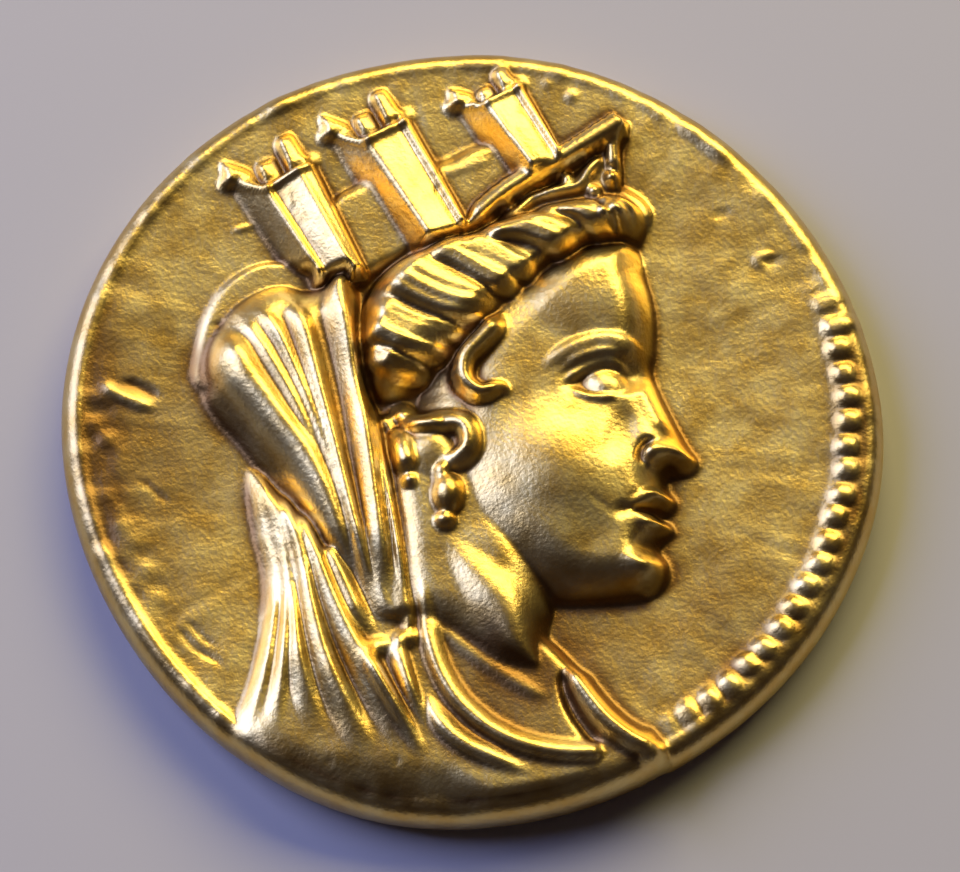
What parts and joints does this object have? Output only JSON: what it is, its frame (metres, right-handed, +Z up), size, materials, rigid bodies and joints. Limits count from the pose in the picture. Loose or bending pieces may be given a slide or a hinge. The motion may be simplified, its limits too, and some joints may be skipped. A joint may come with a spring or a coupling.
{
  "type": "struck gold coin",
  "caption": "Thick hammered gold coin with a veiled head in a crown of towers in high relief, lying on its plainer reverse.",
  "frame": {"origin": "middle of the coin's outline on the surface that it lies on", "axes": "+Z up through the struck head, +Y towards the top of the head, +X the way the head looks"},
  "size_m": [0.03, 0.03, 0.0038],
  "materials": {
    "worn_gold": "worn struck gold, softly shining"
  },
  "bodies": {
    "root": {"coin": "worn_gold"}
  },
  "joints": []
}
